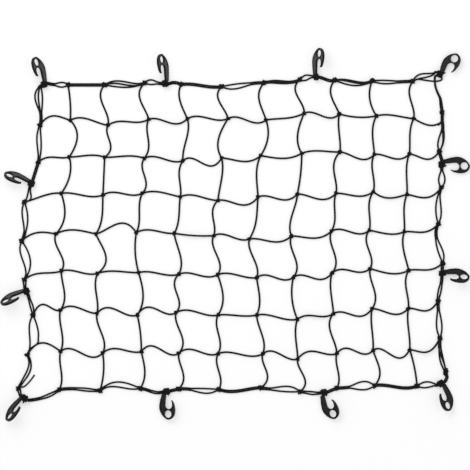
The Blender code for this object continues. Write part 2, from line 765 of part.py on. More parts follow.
def smooth_route(points, steps):
    """Points along a smooth curve through the given ones."""
    ends = [points[0], *points, points[-1]]
    route = []
    for before, start, end, after in zip(ends, ends[1:], ends[2:], ends[3:]):
        for number in range(steps):
            part = number / steps
            route.append(tuple(
                0.5 * (2 * s + (e - b) * part + (2 * b - 5 * s + 4 * e - a) * part ** 2
                       + (3 * s - b - 3 * e + a) * part ** 3)
                for b, s, e, a in zip(before, start, end, after)
            ))
    return route + [points[-1]]


def build_tail():
    """The border cord's loose end, out of the knot at the bottom left corner."""
    knot = next(stop.number for stop in LEFT_RUN if stop.kind == "tail")
    start = step(knot, heading_to(knot, TAIL_ROUTE[0]), BORDER_KNOT_REACH + SEAM_GAP)
    curve = bpy.data.curves.new("cord_tail", "CURVE")
    curve.dimensions = "3D"
    curve.bevel_depth = CORD_DIAMETER / 2 * MM
    curve.bevel_resolution = 2
    curve.use_fill_caps = True
    route = smooth_route([start, *TAIL_ROUTE], TAIL_STEPS)
    spline = curve.splines.new("POLY")
    spline.points.add(len(route) - 1)
    for point, (x, y) in zip(spline.points, route):
        point.co = (*place((x, y, CORD_DIAMETER / 2)), 1.0)
    curve.materials.append(material("cord_tail", BLACK_CORD, 0.75))
    made = bpy.data.objects.new("cord_tail", curve)
    bpy.context.collection.objects.link(made)
    return made


clear_scene()
build_mesh()
build_border_run("border_top", TOP_RUN, math.pi / 2)
build_border_run("border_right", RIGHT_RUN, math.pi / 2)
build_border_run("border_bottom", BOTTOM_RUN, -math.pi / 2)
build_border_run("border_left", LEFT_RUN, -math.pi / 2)
for row in HOOKS:
    build_hook(row)
    build_lashing(row)
build_tail()
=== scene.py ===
import math
import random
from collections import namedtuple

import bmesh
import bpy
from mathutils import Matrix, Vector


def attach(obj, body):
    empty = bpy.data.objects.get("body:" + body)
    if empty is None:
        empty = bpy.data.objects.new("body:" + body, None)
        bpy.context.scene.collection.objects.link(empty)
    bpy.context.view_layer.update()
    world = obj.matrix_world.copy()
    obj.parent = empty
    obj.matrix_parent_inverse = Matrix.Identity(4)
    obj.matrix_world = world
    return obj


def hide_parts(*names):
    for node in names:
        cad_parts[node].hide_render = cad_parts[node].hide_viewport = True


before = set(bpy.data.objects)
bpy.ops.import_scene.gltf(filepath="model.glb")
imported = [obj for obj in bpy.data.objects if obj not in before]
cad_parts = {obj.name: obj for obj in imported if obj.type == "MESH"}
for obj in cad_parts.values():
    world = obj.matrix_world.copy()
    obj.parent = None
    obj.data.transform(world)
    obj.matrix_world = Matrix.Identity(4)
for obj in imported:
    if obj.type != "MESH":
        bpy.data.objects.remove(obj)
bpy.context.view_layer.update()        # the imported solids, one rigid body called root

mm = 0.001
centreShift = (-0.96, -2.35)        # from the middle of the mesh to the middle of the outline
cordDiameter = 5.0


# Everything below is placed in millimetres, from the middle of the mesh.

def place(point):
    x, y, z = point
    return Vector(((x - centreShift[0]) * mm, (y - centreShift[1]) * mm, z * mm))


def step(point, heading, distance):
    return (point[0] + distance * math.cos(heading), point[1] + distance * math.sin(heading))


def headingTo(start, end):
    return math.atan2(end[1] - start[1], end[0] - start[0])


def turnBetween(first, second):
    return (second - first + math.pi) % (2 * math.pi) - math.pi


def smoothRoute(points, steps):
    # A smooth curve through the points, open at both ends
    ends = [points[0], *points, points[-1]]
    route = []
    for before, start, end, after in zip(ends, ends[1:], ends[2:], ends[3:]):
        for number in range(steps):
            part = number / steps
            route.append(tuple(
                0.5 * (2 * s + (e - b) * part + (2 * b - 5 * s + 4 * e - a) * part ** 2
                       + (3 * s - b - 3 * e + a) * part ** 3)
                for b, s, e, a in zip(before, start, end, after)
            ))
    return route + [tuple(points[-1])]


# Camera: straight above, three millimetres to a pixel of the photograph
photo = {
    "sizePixels": 470,
    "mmPerPixel": 3.0,
    "middle": (-1.5, -3.0),         # the frame's middle, from the middle of the mesh
    "distance": 14.0,
    "sensor": 36.0,
}


def makeCamera():
    data = bpy.data.cameras.new("camera")
    viewWidth = photo["sizePixels"] * photo["mmPerPixel"] * mm
    data.sensor_width = photo["sensor"]
    data.lens = photo["sensor"] * photo["distance"] / viewWidth
    camera = bpy.data.objects.new("camera", data)
    camera.location = place((*photo["middle"], photo["distance"] / mm))
    bpy.context.collection.objects.link(camera)
    bpy.context.scene.camera = camera


makeCamera()
bpy.context.scene.view_settings.view_transform = "Standard"      # white paper stays white
print("camera set")


# Node groups

def nodeGroup(name, inputs, outputs):
    group = bpy.data.node_groups.new(name, "ShaderNodeTree")
    for label, kind, value in inputs:
        socket = group.interface.new_socket(label, in_out="INPUT", socket_type=kind)
        if value is not None:
            socket.default_value = value
    for label, kind in outputs:
        group.interface.new_socket(label, in_out="OUTPUT", socket_type=kind)
    return group, group.nodes.new("NodeGroupInput"), group.nodes.new("NodeGroupOutput")


def addMath(tree, operation, first, second=None, third=None, clamp=False):
    node = tree.nodes.new("ShaderNodeMath")
    node.operation = operation
    node.use_clamp = clamp
    for socket, value in zip(node.inputs, (first, second, third)):
        if value is None:
            continue
        if isinstance(value, (int, float)):
            socket.default_value = value
        else:
            tree.links.new(value, socket)
    return node.outputs[0]


def addMix(tree, factor, first, second):
    node = tree.nodes.new("ShaderNodeMix")
    node.data_type = "RGBA"
    for socket, value in ((node.inputs[0], factor), (node.inputs[6], first), (node.inputs[7], second)):
        if isinstance(value, (int, float, tuple)):
            socket.default_value = value
        else:
            tree.links.new(value, socket)
    return node.outputs[2]


def braidedSheathGroup():
    # Diagonal yarns crossing over and under round a cord, from its length and girth map
    group, given, put = nodeGroup(
        "braidedSheath",
        [
            ("Yarns Round", "NodeSocketFloat", 8.0),
            ("Yarns Along", "NodeSocketFloat", 5.0),
            ("Fuzz", "NodeSocketFloat", 0.4),
            ("Yarn Colour", "NodeSocketColor", (0.012, 0.012, 0.012, 1.0)),
            ("Worn Colour", "NodeSocketColor", (0.05, 0.05, 0.05, 1.0)),
        ],
        [("Colour", "NodeSocketColor"), ("Roughness", "NodeSocketFloat"), ("Height", "NodeSocketFloat")],
    )
    cordMap = group.nodes.new("ShaderNodeUVMap")
    cordMap.uv_map = "cordMap"
    split = group.nodes.new("ShaderNodeSeparateXYZ")
    group.links.new(cordMap.outputs["UV"], split.inputs[0])
    along = addMath(group, "MULTIPLY", split.outputs["X"], given.outputs["Yarns Along"])
    around = addMath(group, "MULTIPLY", split.outputs["Y"], given.outputs["Yarns Round"])
    waves = []
    for slope in ("ADD", "SUBTRACT"):        # yarns that climb to the left and to the right
        phase = addMath(group, slope, along, around)
        waves.append(addMath(group, "SINE", addMath(group, "MULTIPLY", phase, 2 * math.pi)))
    crossing = addMath(group, "MULTIPLY", waves[0], waves[1])
    yarns = addMath(group, "MULTIPLY_ADD", crossing, 0.5, 0.5)
    fibres = group.nodes.new("ShaderNodeTexNoise")
    fibres.inputs["Scale"].default_value = 2600.0
    fibres.inputs["Detail"].default_value = 4.0
    position = group.nodes.new("ShaderNodeTexCoord")
    group.links.new(position.outputs["Object"], fibres.inputs["Vector"])
    fluff = addMath(group, "MULTIPLY", fibres.outputs["Fac"], given.outputs["Fuzz"])
    height = addMath(group, "ADD", yarns, fluff)
    rubbed = group.nodes.new("ShaderNodeTexNoise")
    rubbed.inputs["Scale"].default_value = 22.0
    rubbed.inputs["Detail"].default_value = 3.0
    group.links.new(position.outputs["Object"], rubbed.inputs["Vector"])
    tops = addMath(group, "POWER", height, 2.0)
    worn = addMath(group, "MULTIPLY", tops, rubbed.outputs["Fac"], clamp=True)
    colour = addMix(group, worn, given.outputs["Yarn Colour"], given.outputs["Worn Colour"])
    rough = addMath(group, "MULTIPLY_ADD", yarns, -0.15, 0.86)       # raised yarns are rubbed smoother
    group.links.new(colour, put.inputs["Colour"])
    group.links.new(rough, put.inputs["Roughness"])
    group.links.new(height, put.inputs["Height"])
    return group


braidedSheath = braidedSheathGroup()


def newMaterial(name):
    made = bpy.data.materials.new(name)
    made.use_nodes = True
    return made, made.node_tree, made.node_tree.nodes["Principled BSDF"]


def groupMaterial(name, effect, reliefDepth, settings):
    # A surface whose colour, roughness and relief come from one of the groups
    made, tree, surface = newMaterial(name)
    placed = tree.nodes.new("ShaderNodeGroup")
    placed.node_tree = effect
    for label, value in settings.items():
        if label in placed.inputs:
            placed.inputs[label].default_value = value
    bump = tree.nodes.new("ShaderNodeBump")
    bump.inputs["Strength"].default_value = settings["relief"]
    bump.inputs["Distance"].default_value = reliefDepth
    tree.links.new(placed.outputs["Height"], bump.inputs["Height"])
    tree.links.new(placed.outputs["Colour"], surface.inputs["Base Color"])
    tree.links.new(placed.outputs["Roughness"], surface.inputs["Roughness"])
    tree.links.new(bump.outputs["Normal"], surface.inputs["Normal"])
    surface.inputs["Specular IOR Level"].default_value = settings["shine"]
    return made, surface


def cordMaterial(name, settings):
    made, surface = groupMaterial(name, braidedSheath, 0.0004, settings)
    surface.inputs["Sheen Weight"].default_value = settings["sheen"]
    surface.inputs["Sheen Roughness"].default_value = 0.5
    return made


netCord = cordMaterial("netCord", {
    "Yarns Round": 8.0, "Yarns Along": 4.6, "Fuzz": 0.35,
    "Yarn Colour": (0.004, 0.004, 0.004, 1.0), "Worn Colour": (0.032, 0.031, 0.029, 1.0),
    "relief": 0.7, "sheen": 0.03, "shine": 0.2,
})
tightCord = cordMaterial("tightCord", {
    "Yarns Round": 8.0, "Yarns Along": 4.0, "Fuzz": 0.25,
    "Yarn Colour": (0.004, 0.004, 0.004, 1.0), "Worn Colour": (0.028, 0.027, 0.025, 1.0),
    "relief": 0.8, "sheen": 0.03, "shine": 0.2,
})


def sealedEndMaterial():
    # Sheath melted over the rubber where a cord was cut
    made, tree, surface = newMaterial("sealedEnd")
    position = tree.nodes.new("ShaderNodeTexCoord")
    blobs = tree.nodes.new("ShaderNodeTexNoise")
    blobs.inputs["Scale"].default_value = 700.0
    tree.links.new(position.outputs["Object"], blobs.inputs["Vector"])
    bump = tree.nodes.new("ShaderNodeBump")
    bump.inputs["Strength"].default_value = 0.5
    bump.inputs["Distance"].default_value = 0.0003
    tree.links.new(blobs.outputs["Fac"], bump.inputs["Height"])
    tree.links.new(bump.outputs["Normal"], surface.inputs["Normal"])
    colour = addMix(tree, blobs.outputs["Fac"], (0.006, 0.006, 0.006, 1.0), (0.02, 0.02, 0.02, 1.0))
    tree.links.new(colour, surface.inputs["Base Color"])
    surface.inputs["Roughness"].default_value = 0.32
    return made


sealedEnd = sealedEndMaterial()


def nylonGroup():
    # Moulded nylon: a fine grain, and scuffs that come and go
    group, given, put = nodeGroup(
        "mouldedNylon",
        [
            ("Grain Size", "NodeSocketFloat", 1800.0),
            ("Scuffs", "NodeSocketFloat", 1.0),
            ("Polish", "NodeSocketFloat", 0.35),
            ("Base Colour", "NodeSocketColor", (0.006, 0.006, 0.006, 1.0)),
            ("Scuffed Colour", "NodeSocketColor", (0.02, 0.02, 0.021, 1.0)),
        ],
        [("Colour", "NodeSocketColor"), ("Roughness", "NodeSocketFloat"), ("Height", "NodeSocketFloat")],
    )
    position = group.nodes.new("ShaderNodeTexCoord")
    grain = group.nodes.new("ShaderNodeTexNoise")
    group.links.new(given.outputs["Grain Size"], grain.inputs["Scale"])
    grain.inputs["Detail"].default_value = 3.0
    scuffs = group.nodes.new("ShaderNodeTexNoise")
    scuffs.inputs["Scale"].default_value = 70.0
    scuffs.inputs["Detail"].default_value = 6.0
    scuffs.inputs["Roughness"].default_value = 0.7
    for texture in (grain, scuffs):
        group.links.new(position.outputs["Object"], texture.inputs["Vector"])
    sharpened = addMath(group, "MULTIPLY_ADD", scuffs.outputs["Fac"], 3.4, -1.55, clamp=True)
    patch = addMath(group, "MULTIPLY", sharpened, given.outputs["Scuffs"], clamp=True)
    colour = addMix(group, patch, given.outputs["Base Colour"], given.outputs["Scuffed Colour"])
    rough = addMath(group, "MULTIPLY_ADD", patch, 0.18, given.outputs["Polish"])
    group.links.new(colour, put.inputs["Colour"])
    group.links.new(rough, put.inputs["Roughness"])
    group.links.new(grain.outputs["Fac"], put.inputs["Height"])
    return group


mouldedNylon = nylonGroup()


def hookMaterial(name, settings):
    return groupMaterial(name, mouldedNylon, 0.0001, settings)[0]


hookRim = hookMaterial("hookRim", {            # smooth from the mould
    "Grain Size": 1500.0, "Scuffs": 0.8, "Polish": 0.30,
    "Base Colour": (0.004, 0.004, 0.004, 1.0), "Scuffed Colour": (0.014, 0.014, 0.0145, 1.0),
    "relief": 0.15, "shine": 0.2,
})
webWithPaintedSheen = hookMaterial("webWithPaintedSheen", {            # the sunk face, with a coarser finish and scuffs; its lighter colour than the rim is a painted highlight
    "Grain Size": 1100.0, "Scuffs": 1.0, "Polish": 0.44,
    "Base Colour": (0.011, 0.011, 0.011, 1.0), "Scuffed Colour": (0.03, 0.03, 0.031, 1.0),
    "relief": 0.5, "shine": 0.3,
})
paintedLitWeb = hookMaterial("paintedLitWeb", {            # the same face coloured lighter: a painted highlight where it catches the light
    "Grain Size": 1100.0, "Scuffs": 1.0, "Polish": 0.44,
    "Base Colour": (0.052, 0.051, 0.048, 1.0), "Scuffed Colour": (0.115, 0.112, 0.105, 1.0),
    "relief": 0.5, "shine": 0.3,
})
print("materials made")


# Cord making: a skin gathers round tubes, and becomes one mesh

def newSkin():
    return {"points": [], "faces": [], "map": [], "slots": []}


def addTube(skin, path, radius, sides=8, slot=0, sealed=(False, False)):
    # A round cord along a path in millimetres; a sealed end is domed and takes the next slot
    line = [Vector(point) for point in path]
    count = len(line)
    up = Vector((0.0, 0.0, 1.0))
    lengths = [0.0]
    first = len(skin["points"])
    for number, middle in enumerate(line):
        way = (line[min(number + 1, count - 1)] - line[max(number - 1, 0)]).normalized()
        side = up.cross(way)
        if side.length < 1e-3:                   # the cord runs straight up
            side = Vector((1.0, 0.0, 0.0)).cross(way)
        side.normalize()
        up = way.cross(side).normalized()
        if number:
            lengths.append(lengths[-1] + (middle - line[number - 1]).length)
        for corner in range(sides):
            angle = 2 * math.pi * corner / sides
            offset = side * math.cos(angle) + up * math.sin(angle)
            skin["points"].append(place(middle + offset * radius))
    for number in range(count - 1):
        start, end = lengths[number] / 10, lengths[number + 1] / 10      # the map is in centimetres
        for corner in range(sides):
            turned = (corner + 1) % sides
            low = first + number * sides
            high = low + sides
            skin["faces"].append((low + corner, low + turned, high + turned, high + corner))
            left, right = corner / sides, (corner + 1) / sides
            skin["map"] += [(start, left), (start, right), (end, right), (end, left)]
            skin["slots"].append(slot)
    for ring, inside, isSealed in ((0, 1, sealed[0]), (count - 1, count - 2, sealed[1])):
        corners = [first + ring * sides + corner for corner in range(sides)]
        if ring == 0:
            corners.reverse()
        if not isSealed:
            skin["faces"].append(tuple(corners))
            skin["map"] += [(0.0, 0.0)] * sides
            skin["slots"].append(slot)
            continue
        way = (line[ring] - line[inside]).normalized()
        middle = place(line[ring])
        spokes = [(skin["points"][corner] - middle).normalized() for corner in corners]
        for width, reach in ((0.86, 0.5), (0.5, 0.85)):      # two rings of the dome
            made = list(range(len(skin["points"]), len(skin["points"]) + sides))
            skin["points"] += [middle + (spoke * width + way * reach) * radius * mm for spoke in spokes]
            for corner in range(sides):
                turned = (corner + 1) % sides
                skin["faces"].append((corners[corner], corners[turned], made[turned], made[corner]))
                skin["map"] += [(0.0, 0.0)] * 4
                skin["slots"].append(slot + 1)
            corners = made
        skin["faces"].append(tuple(corners))
        skin["map"] += [(0.0, 0.0)] * sides
        skin["slots"].append(slot + 1)


def finishSkin(skin, name, materials):
    mesh = bpy.data.meshes.new(name)
    mesh.from_pydata([tuple(point) for point in skin["points"]], [], skin["faces"])
    layer = mesh.uv_layers.new(name="cordMap")
    layer.data.foreach_set("uv", [value for pair in skin["map"] for value in pair])
    mesh.polygons.foreach_set("material_index", skin["slots"])
    for finish in materials:
        mesh.materials.append(finish)
    mesh.shade_smooth()
    mesh.set_sharp_from_angle(angle=math.radians(60))
    piece = bpy.data.objects.new(name, mesh)
    bpy.context.collection.objects.link(piece)
    return piece


# Tables of how the net lies, in millimetres; the letters are explained beside them

knotDrift = (        # each mesh knot off an even grid, as (right, up)
    ((22, -10), (20, -25), (27, -7), (28, -5), (35, -5), (34, -9), (33, 11), (24, 9), (20, 3), (17, -5)),
    ((19, -3), (10, -4), (14, -7), (15, -14), (16, -6), (18, 1), (26, 8), (26, 12), (14, 5), (4, 6)),
    ((-5, 5), (5, 0), (8, 5), (7, -6), (5, -16), (10, -6), (13, 3), (14, 5), (11, 10), (-3, 2)),
    ((-21, 0), (-16, 0), (-10, 4), (-11, 2), (-8, -5), (-16, -15), (-5, -6), (0, 8), (-1, 11), (-11, 7)),
    ((-5, 6), (-11, -1), (-3, 1), (2, -4), (4, -5), (6, -14), (1, -13), (2, 0), (1, 13), (2, 8)),
    ((-8, 5), (-13, -4), (-7, -9), (-6, -2), (5, -9), (6, -9), (13, -22), (6, -5), (7, 10), (1, 11)),
    ((-7, -1), (4, -6), (5, -2), (2, -7), (5, -8), (24, -9), (14, -24), (16, -8), (10, 2), (5, 4)),
)
borderDrift = {
    "top": ((15, -3), (10, -3), (16, 3), (9, -2), (16, -8), (28, 3), (21, 13), (11, 11), (7, 9), (15, 8)),
    "bottom": ((-11, -2), (-4, -5), (2, 2), (2, 0), (7, -1), (19, 4), (21, -8), (17, 3), (14, 10), (27, 9)),
    "left": ((29, -24), (24, -18), (-18, -21), (-26, -21), (-18, -20), (8, -9), (-9, -11)),
    "right": ((5, -13), (-4, 14), (2, 22), (-7, 30), (6, 30), (-8, 33), (-2, 39)),
}

# A strand has two letters: its stray a third and two thirds of the way along, m on
# the line, n one step off it, l one step to the other side.
acrossLies = (
    "tr qo ol lh ol nj lk mi kk on ih",
    "pn no no ol mf jh ji on jg kh if",
    "no mk ol po pn jf lh jg ki hi hf",
    "rq qp sw pn ll ol kh jh nj kj jh",
    "pn nl on nl nk om ok mh ok ji ki",
    "vq ro sn tn pm ml nl ol lg jg if",
    "wu oi qn sm qm nk qm so qk le gd",
)
downLies = (
    "nn ts qq rs lp oq mo mo",
    "hl nr mm op sv km mp oo",
    "fi mp lp ln kk qr nn pq",
    "ij om jl no oq jo nr or",
    "gj hg on il lp qr lo lo",
    "gi qq jk op lo op np os",
    "gk ih nn lj mq jj kl os",
    "gi lm hk mo mq kl hk mo",
    "ii jk km jl jn nq lm qs",
    "il kl kl kl jk jl lm nn",
)

# How high some strands across arch off the floor, by row and strand
archedStrands = {(1, 3): 6, (1, 5): 6, (1, 7): 7, (2, 3): 3, (3, 9): 3, (4, 4): 7, (6, 7): 6, (7, 10): 6}

# Headings, rolls and lies are in degrees. A tip of 1 has its point to the left of the
# heading. Lash, lie and width are the middle, heading and length of the hook's lashing.
Hook = namedtuple("Hook", "number root heading tip roll lash lie width")
hooks = (
    Hook(1, (-571.2, 450.5), 105.5, 1, 50, (-574.0, 448.5), 17, 20),
    Hook(2, (-207.0, 456.0), 96.8, 1, 55, (-211.0, 451.0), 0, 22),
    Hook(3, (239.5, 473.5), 86.0, -1, 52, (241.5, 471.0), -5, 18),
    Hook(4, (614.3, 471.5), 61.0, -1, 12, (613.0, 479.0), -25, 24),
    Hook(5, (618.5, 215.0), 0.0, -1, 3, (618.5, 208.5), -90, 24),
    Hook(6, (617.5, -115.0), -4.0, -1, 38, (619.5, -118.0), -92, 20),
    Hook(7, (621.0, -447.0), -70.5, -1, 40, (616.0, -448.0), 25, 24),
    Hook(8, (260.0, -478.0), -70.5, 1, 22, (265.5, -475.0), 8, 22),
    Hook(9, (-212.5, -472.0), -89.5, 1, 20, (-206.0, -472.0), 8, 22),
    Hook(10, (-638.8, -488.0), -128.0, 1, 56, (-633.0, -492.0), -30, 24),
    Hook(11, (-628.5, -168.5), -156.5, 1, 58, (-627.0, -171.5), -65, 20),
    Hook(12, (-612.0, 154.0), 156.7, 1, 55, (-612.0, 151.5), -111, 22),
)

# The border: after each stop, the lies of its outer and inner cord, in finer steps
# and outwards towards n, and in some places a cord between them. A stop that is no
# lashing and ties in no mesh cord has its place instead of a number.
Stop = namedtuple("Stop", "kind number outer inner between", defaults=("",))
topRun = (
    Stop("lashing", 1, "mp", "ki"),
    Stop("top", 1, "nn", "ll"),
    Stop("top", 2, "rn", "ih", "nj"),
    Stop("top", 3, "rp", "kl"),
    Stop("lashing", 2, "pp", "nn"),
    Stop("top", 4, "om", "mk"),
    Stop("top", 5, "oo", "hl"),
    Stop("top", 6, "ol", "ki", "mj"),
    Stop("top", 7, "qq", "jk"),
    Stop("lashing", 3, "ml", "kj"),
    Stop("top", 8, "nk", "gf", "li"),
    Stop("top", 9, "nm", "ik"),
    Stop("top", 10, "sp", "ke", "mk"),
    Stop("lashing", 4, "", ""),
)
rightRun = (
    Stop("lashing", 4, "", ""),
    Stop("right", 1, "qr", "mj", "oq"),
    Stop("right", 2, "nn", "ll"),
    Stop("lashing", 5, "qr", "ji"),
    Stop("right", 3, "mp", "hh"),
    Stop("right", 4, "io", "gh"),
    Stop("right", 5, "nn", "ll"),
    Stop("lashing", 6, "oo", "lk"),
    Stop("right", 6, "oq", "ki"),
    Stop("right", 7, "lm", "ih", "il"),
    Stop("plain", (630.0, -414.0), "nn", "ll"),
    Stop("bend", (634.0, -430.0), "", ""),
    Stop("lashing", 7, "", ""),
)
bottomRun = (
    Stop("lashing", 10, "qr", "on"),
    Stop("bottom", 1, "ln", "jj"),
    Stop("bottom", 2, "hl", "bd"),
    Stop("bottom", 3, "oq", "mn"),
    Stop("lashing", 9, "nn", "ll"),
    Stop("bottom", 4, "os", "ll"),
    Stop("bottom", 5, "rp", "pn"),
    Stop("bottom", 6, "oo", "kg"),
    Stop("bottom", 7, "op", "ll"),
    Stop("lashing", 8, "nn", "ll"),
    Stop("bottom", 8, "nr", "lf"),
    Stop("bottom", 9, "nq", "lo"),
    Stop("bottom", 10, "po", "hh"),
    Stop("lashing", 7, "", ""),
)
leftRun = (
    Stop("lashing", 1, "un", "jk", "pm"),
    Stop("left", 1, "qo", "kj"),
    Stop("left", 2, "nn", "ll"),
    Stop("lashing", 12, "ml", "if"),
    Stop("left", 3, "ok", "gg"),
    Stop("left", 4, "pk", "dc"),
    Stop("left", 5, "on", "kl"),
    Stop("lashing", 11, "nn", "kj"),
    Stop("left", 6, "pl", "ca"),
    Stop("left", 7, "gj", "cf"),
    Stop("tail", (-650.5, -463.0), "on", "kl"),
    Stop("lashing", 10, "", ""),
)


def stray(word, part, letterStep):
    # A cubic through both letters, and nothing at either end of the strand
    third = (ord(word[0]) - ord("m")) * letterStep
    twoThirds = (ord(word[1]) - ord("m")) * letterStep
    startSlope = 9.0 * third - 4.5 * twoThirds
    return part * (1 - part) * (startSlope + 13.5 * (twoThirds - third) * part)


# Loose tail, made first: sealed, with no fitting
tail = {
    "knot": (-650.5, -463.0),
    "leaves": 8.3,                # from the knot's middle
    "route": ((-631.5, -456.0), (-616.5, -441.0), (-603.6, -423.9)),
    "steps": 6,
}


def makeTail():
    knot = tail["knot"]
    start = step(knot, headingTo(knot, tail["route"][0]), tail["leaves"])
    radius = cordDiameter / 2
    path = [(x, y, radius) for x, y in smoothRoute([start, *tail["route"]], tail["steps"])]
    skin = newSkin()
    addTube(skin, path, radius, sides=12, sealed=(False, True))
    piece = finishSkin(skin, "looseTail", [netCord, sealedEnd])
    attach(piece, "root")
    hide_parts("cord_tail")
    centres = [tuple(place(point)) for point in path]
    length = sum(math.dist(first, second) for first, second in zip(centres, centres[1:]))
    return length


tailLength = makeTail()
print("loose tail made,", round(tailLength / mm), "mm long")


# The net: mesh and border, as one piece of cord work
net = {
    "columns": 10,
    "rows": 7,
    "pitchAcross": 115.0,
    "pitchDown": 117.0,
    "halfWidth": 615.0,
    "top": 450.0,
    "bottom": -465.0,
    "meshLieStep": 3.0,
    "borderLieStep": 2.0,
    "strandRadius": 2.9,
    "borderRadius": 2.7,
    "strandRings": 16,
    "unevenRise": 0.5,            # a strand may lie this far off the floor
    "knotClimb": 2.0,             # how far a strand climbs into its knot
    "climbLength": 8.0,
    "seed": 7,
    "knotScale": 1.75,            # the mesh knot's turned cord
    "knotSteps": 44,
    "knotSqueeze": (0.85, 1.1),
    "knotLean": 0.14,
    "knotHeight": 2.7,
    "knotCentre": 5.3,
    "knotCordRadius": 2.5,
    "wrapHalfWidth": 5.8,         # the border knot's turns round the border
    "wrapHalfHeight": 3.2,
    "wrapCentre": 5.6,
    "wrapRadius": 2.4,
    "wrapPitch": 4.4,
    "wrapSteps": 14,
    "wrapSlant": 0.22,
    "wrapBegin": 0.6,
    "wrapTurns": (2.4, 2.6, 3.0),
    "plainTurns": 4.6,            # the binding that holds no mesh cord
    "endLength": 2.4,             # a mesh cord's cut end, past its knot
    "endFan": 0.9,
    "endInside": (2.0, 5.0),      # from the knot's middle, and off the floor
    "endHigh": (3.0, 5.5),
    "pairSpacing": 5.5,
    "pairStations": 7.5,          # length of cord between two drawn stations
    "pairGap": 1.2,               # from a lashing to where its cords are free
    "leadStart": 0.5,             # from a lashing's middle to a border cord's end
    "leadHigh": 4.6,              # a border cord inside a lashing
    "thirdLeadHigh": 8.1,
    "thirdClimb": 0.9,
    "bendRise": 0.6,
    "moved": {("right", 1): (-1.0, 26.0)},       # a knot that has slid along the border
    "detours": {                  # where an inner cord leaves its line, and the way it goes
        ("top", 10): (0.6, (
            (595.5, 458.0, 2.6), (610.0, 459.0, 2.6), (617.5, 462.0, 2.6),
            (619.5, 467.0, 2.8), (616.0, 471.5, 4.0), (611.0, 475.0, 5.0),
        )),
        ("left", 6): (0.6, (
            (-592.0, -325.0, 3.4), (-597.5, -331.5, 4.0), (-606.0, -337.5, 3.2),
            (-618.0, -346.5, 3.0), (-624.0, -360.0, 4.5),
        )),
    },
    "cornerCords": (              # down from the top right lashing, one over the other at first
        (
            (613.0, 479.0, 4.6), (603.0, 476.0, 4.6), (597.0, 469.5, 2.8), (598.5, 444.0, 2.6),
            (605.0, 423.6, 2.6), (612.0, 407.5, 2.6), (614.0, 387.0, 2.6), (617.0, 364.0, 2.6),
            (617.4, 338.0, 4.4),
        ),
        (
            (613.0, 479.0, 9.0), (605.0, 476.0, 9.4), (598.5, 469.0, 7.6), (599.8, 444.0, 7.4),
            (607.0, 423.6, 6.4), (615.5, 407.0, 4.2), (619.4, 387.0, 2.6), (622.4, 364.0, 2.6),
            (622.6, 338.0, 4.4),
        ),
        (
            (607.0, 326.0, 3.0), (616.0, 334.0, 5.2), (620.5, 343.0, 7.4), (620.5, 354.0, 7.6),
            (620.0, 363.0, 6.0),
        ),
    ),
    "flatSize": (1.24, 0.93),     # metres
    "flatArea": 0.346,
}


def meshKnot(row, column):
    right, up = knotDrift[row - 1][column - 1]
    x = net["pitchAcross"] * (column - (net["columns"] + 1) / 2) + right
    return (x, net["pitchDown"] * ((net["rows"] + 1) / 2 - row) + up)


def borderKnot(side, number):
    right, up = borderDrift[side][number - 1]
    if side in ("top", "bottom"):
        return (net["pitchAcross"] * (number - (net["columns"] + 1) / 2) + right, net[side] + up)
    x = -net["halfWidth"] if side == "left" else net["halfWidth"]
    return (x + right, net["pitchDown"] * ((net["rows"] + 1) / 2 - number) + up)


def acrossPoint(row, strand, part):
    start = borderKnot("left", row) if strand == 0 else meshKnot(row, strand)
    end = borderKnot("right", row) if strand == net["columns"] else meshKnot(row, strand + 1)
    offset = stray(acrossLies[row - 1].split()[strand], part, net["meshLieStep"])
    return (start[0] + (end[0] - start[0]) * part, start[1] + (end[1] - start[1]) * part + offset)


def downPoint(column, strand, part):
    start = borderKnot("top", column) if strand == 0 else meshKnot(strand, column)
    end = borderKnot("bottom", column) if strand == net["rows"] else meshKnot(strand + 1, column)
    offset = stray(downLies[column - 1].split()[strand], part, net["meshLieStep"])
    return (start[0] + (end[0] - start[0]) * part + offset, start[1] + (end[1] - start[1]) * part)


def knotClimb(part, length):
    near = min(part, 1 - part) * length
    return net["knotClimb"] * math.exp(-(near / net["climbLength"]) ** 2)


def addMeshStrand(skin, along, rise):
    count = net["strandRings"]
    length = math.dist(along(0.0), along(1.0))
    path = []
    for number in range(count + 1):
        even = number / count
        crowded = (1 - math.cos(math.pi * even)) / 2        # closer together by the knots
        part = (even + crowded) / 2
        arch = rise * math.sin(math.pi * part) ** 2
        path.append((*along(part), net["strandRadius"] + knotClimb(part, length) + arch))
    addTube(skin, path, net["strandRadius"])


def addMeshKnot(skin, middle, chance):
    # The cords' turns, drawn as a threefold loop with its own lean at each crossing
    turn = chance.uniform(0, 2 * math.pi)
    hand = chance.choice((-1, 1))
    squeeze = chance.uniform(*net["knotSqueeze"])
    lean = net["knotLean"]
    leanX, leanY = chance.uniform(-lean, lean), chance.uniform(-lean, lean)
    scale = net["knotScale"]
    path = []
    for number in range(net["knotSteps"] + 2):
        angle = 2 * math.pi * number / net["knotSteps"]
        x = (math.sin(angle) + 2 * math.sin(2 * angle)) * scale * squeeze
        y = (math.cos(angle) - 2 * math.cos(2 * angle)) * scale / squeeze * hand
        z = -math.sin(3 * angle) * net["knotHeight"]
        turned = (x * math.cos(turn) - y * math.sin(turn), x * math.sin(turn) + y * math.cos(turn))
        high = net["knotCentre"] + z + turned[0] * leanX + turned[1] * leanY
        path.append((middle[0] + turned[0], middle[1] + turned[1], max(high, net["knotCordRadius"])))
    addTube(skin, path, net["knotCordRadius"])


